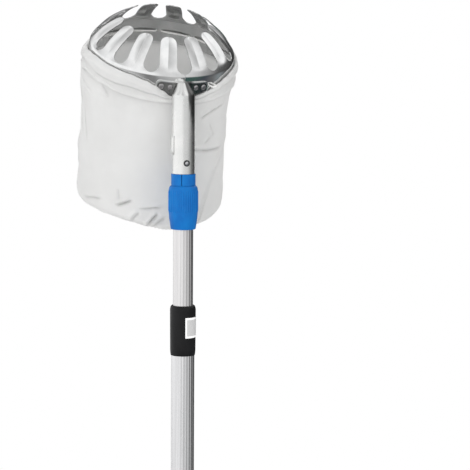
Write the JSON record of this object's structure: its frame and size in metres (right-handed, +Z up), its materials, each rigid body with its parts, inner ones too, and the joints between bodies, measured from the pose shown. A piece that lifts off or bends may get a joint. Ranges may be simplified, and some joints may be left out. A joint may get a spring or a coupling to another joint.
{
  "type": "fruit picker basket",
  "caption": "Long-handled fruit picker: a ring of inward-leaning steel fingers over a hanging fabric bag, on a telescopic pole with a twist lock and a clamped head.",
  "frame": {"origin": "middle of the hand grip, on the pole's axis", "axes": "+Z up along the pole towards the picking head; the bag hangs on the +Y side and the crown leans towards -Y"},
  "size_m": [0.1708, 0.2192, 1.7398],
  "materials": {
    "bag_bottom": "off-white woven polyester",
    "bag_cord": "white braided cord",
    "bag_hem": "off-white woven polyester",
    "bag_side": "off-white woven polyester",
    "clamp_body": "satin blue",
    "clamp_nut": "satin blue, ribbed",
    "collar_label": "blank white label",
    "crown": "bright rolled stainless sheet",
    "end_grip": "black",
    "expander_cone": "natural",
    "expander_sleeve": "black",
    "guide_bush": "black",
    "guide_collar": "black",
    "handle_socket": "bright stainless sheet",
    "hanging_plug": "black",
    "inner_tube": "satin, lightly fluted",
    "lock_plug": "grey",
    "lock_plug_pin": "plain",
    "lock_spindle": "plain",
    "outer_tube": "satin, lightly fluted",
    "socket_rivets": "dull pop rivet heads",
    "socket_screw": "plain",
    "spindle_nut": "plain",
    "split_collet": "natural"
  },
  "bodies": {
    "outer_pole": {"outer_tube": "outer_tube", "end_grip": "end_grip", "hanging_plug": "hanging_plug", "guide_bush": "guide_bush", "guide_collar": "guide_collar", "collar_label": "collar_label"},
    "lock_sleeve": {"expander_sleeve": "expander_sleeve"},
    "lock_cone": {"expander_cone": "expander_cone"},
    "inner_pole": {"inner_tube": "inner_tube", "lock_plug": "lock_plug", "lock_plug_pin": "lock_plug_pin", "lock_spindle": "lock_spindle", "spindle_nut": "spindle_nut"},
    "collet": {"split_collet": "split_collet"},
    "head": {"crown": "crown", "handle_socket": "handle_socket", "socket_rivets": "socket_rivets", "socket_screw": "socket_screw", "bag_hem": "bag_hem", "bag_side": "bag_side", "bag_bottom": "bag_bottom", "bag_cord": "bag_cord", "clamp_body": "clamp_body"},
    "nut": {"clamp_nut": "clamp_nut"}
  },
  "joints": [
    {"name": "pole_extend", "type": "slide", "parent": "outer_pole", "child": "lock_sleeve", "axis": [0, 0, 1], "range_m": [-0.08, 1.1]},
    {"name": "pole_twist", "type": "hinge", "parent": "lock_sleeve", "child": "inner_pole", "pos_m": [0, 0, 0.118], "axis": [0, 0, 1], "range_deg": [0, 360]},
    {"name": "cone_travel", "type": "slide", "parent": "lock_sleeve", "child": "lock_cone", "axis": [0, 0, -1], "range_m": [0, 0.0015]},
    {"name": "head_lift", "type": "slide", "parent": "inner_pole", "child": "collet", "axis": [0, 0, 1], "range_m": [0, 0.05]},
    {"name": "head_swivel", "type": "hinge", "parent": "collet", "child": "head", "pos_m": [0, 0, 1.425], "axis": [0, 0, 1], "range_deg": [-180, 180]},
    {"name": "nut_turn", "type": "hinge", "parent": "head", "child": "nut", "pos_m": [0, 0, 1.435], "axis": [0, 0, -1], "range_deg": [0, 360]}
  ],
  "couplings": [
    {"joint": "cone_travel", "follows": "pole_twist", "m_per_rad": 0.00023873}
  ]
}
